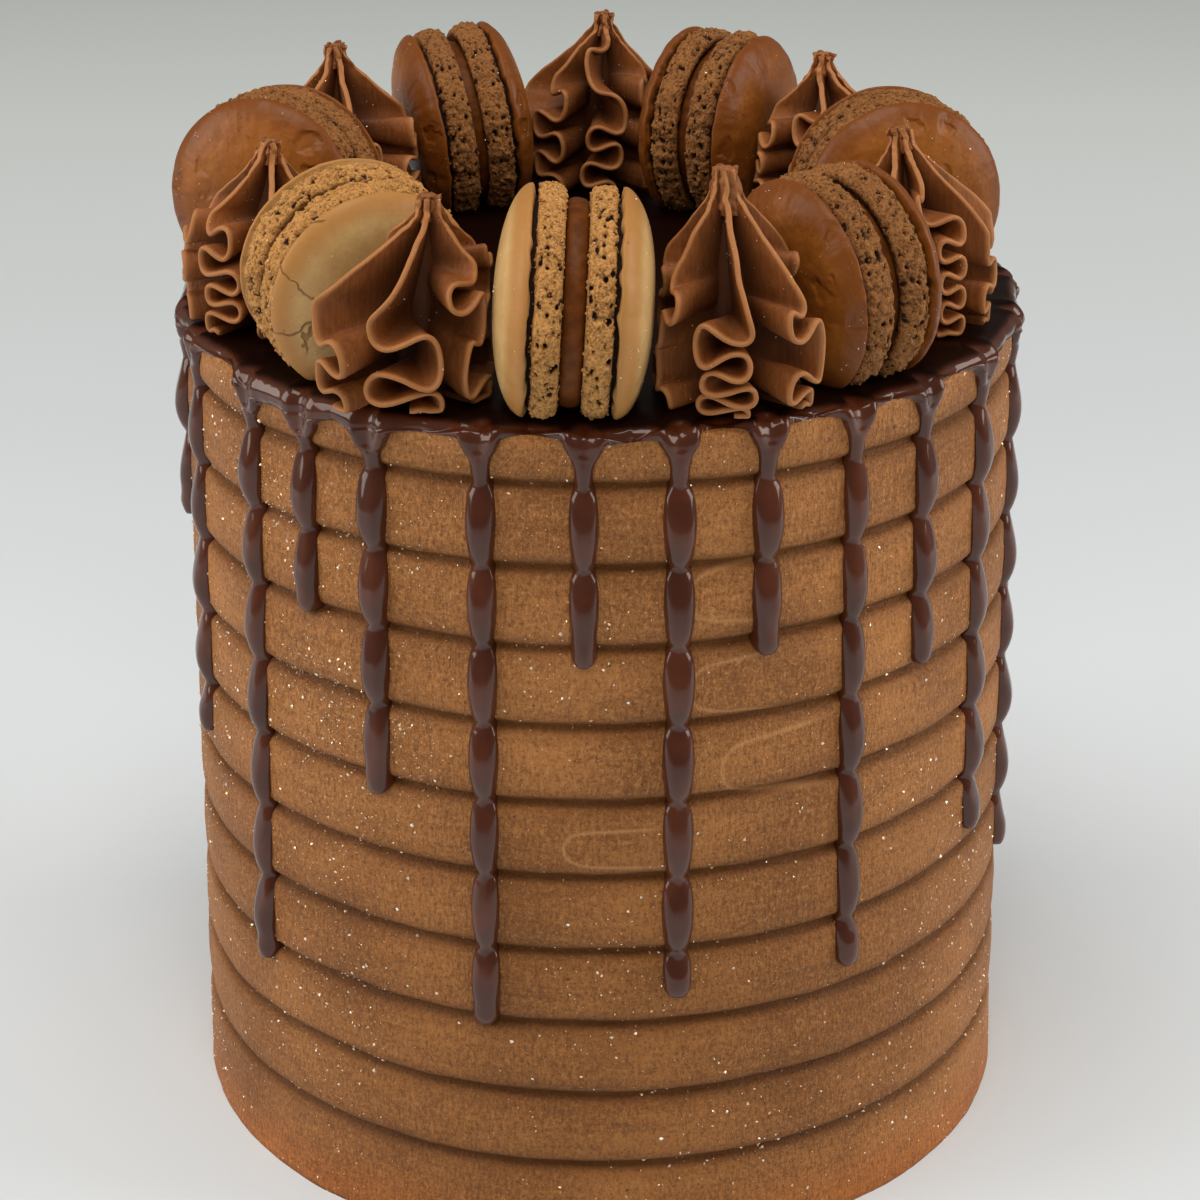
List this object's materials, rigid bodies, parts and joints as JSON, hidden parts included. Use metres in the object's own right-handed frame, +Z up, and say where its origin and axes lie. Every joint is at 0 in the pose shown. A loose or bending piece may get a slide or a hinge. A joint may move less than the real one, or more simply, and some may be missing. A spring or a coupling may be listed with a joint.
{
  "type": "layer cake",
  "caption": "Tall round layer cake in ribbed chocolate buttercream with poured chocolate drips, topped by a ring of macarons and piped swirls.",
  "frame": {"origin": "middle of the cake's flat underside", "axes": "+Z up the cake; -Y is the front that the picture shows; +X to its right"},
  "size_m": [0.1667, 0.1699, 0.208],
  "materials": {
    "buttercream": "matte ribbed buttercream with fine specks",
    "chocolate": "glossy poured chocolate",
    "tan_shell": "satin baked shell with a rough foot",
    "brown_shell": "satin baked shell with a rough foot",
    "filling": "smooth chocolate cream",
    "piped_cream": "satin piped chocolate cream"
  },
  "bodies": {
    "root": {"cake": "buttercream", "ganache": "chocolate", "macaron_1_shell_near": "tan_shell", "macaron_1_filling": "filling", "macaron_1_shell_far": "tan_shell", "macaron_2_shell_near": "brown_shell", "macaron_2_filling": "filling", "macaron_2_shell_far": "brown_shell", "macaron_3_shell_near": "brown_shell", "macaron_3_filling": "filling", "macaron_3_shell_far": "brown_shell", "macaron_4_shell_near": "brown_shell", "macaron_4_filling": "filling", "macaron_4_shell_far": "brown_shell", "macaron_5_shell_near": "brown_shell", "macaron_5_filling": "filling", "macaron_5_shell_far": "brown_shell", "macaron_6_shell_near": "brown_shell", "macaron_6_filling": "filling", "macaron_6_shell_far": "brown_shell", "macaron_7_shell_near": "tan_shell", "macaron_7_filling": "filling", "macaron_7_shell_far": "tan_shell", "swirl_1": "piped_cream", "swirl_2": "piped_cream", "swirl_3": "piped_cream", "swirl_4": "piped_cream", "swirl_5": "piped_cream", "swirl_6": "piped_cream", "swirl_7": "piped_cream"}
  },
  "joints": []
}
